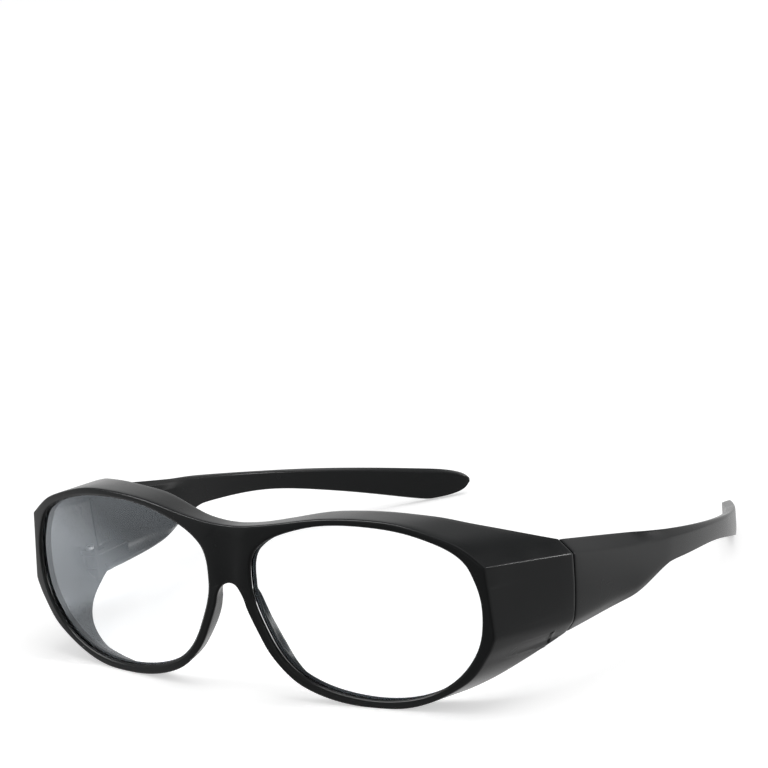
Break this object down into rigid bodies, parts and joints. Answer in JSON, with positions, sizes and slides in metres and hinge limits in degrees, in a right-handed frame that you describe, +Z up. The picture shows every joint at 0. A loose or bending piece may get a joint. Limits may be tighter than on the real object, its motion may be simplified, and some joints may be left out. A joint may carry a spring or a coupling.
{
  "type": "fit-over glasses",
  "caption": "Wrap-around fit-over glasses with oval clear lenses, moulded side shields and a brow ledge, and wide temples that fold on screws.",
  "frame": {"origin": "middle of the bounding box, on the plane that the rims and the temple tips stand on", "axes": "+X to the wearer's left, +Y from the lenses to the ears, +Z up"},
  "size_m": [0.1498, 0.1589, 0.0464],
  "materials": {
    "frame_plastic": "satin black moulded plastic",
    "lens_plastic": "clear polished polycarbonate",
    "screw_steel": "plain turned steel"
  },
  "bodies": {
    "front": {"front_frame": "frame_plastic", "lens_right": "lens_plastic", "lens_left": "lens_plastic", "hinge_screw_right": "screw_steel", "hinge_screw_left": "screw_steel"},
    "temple_left": {"temple_left": "frame_plastic"},
    "temple_right": {"temple_right": "frame_plastic"}
  },
  "joints": [
    {"name": "temple_left_fold", "type": "hinge", "parent": "front", "child": "temple_left", "pos_m": [0.0697, -0.04765, 0.01665], "axis": [0, 0, 1], "range_deg": [0, 82]},
    {"name": "temple_right_fold", "type": "hinge", "parent": "front", "child": "temple_right", "pos_m": [-0.0697, -0.04765, 0.01665], "axis": [0, 0, -1], "range_deg": [0, 72]}
  ]
}
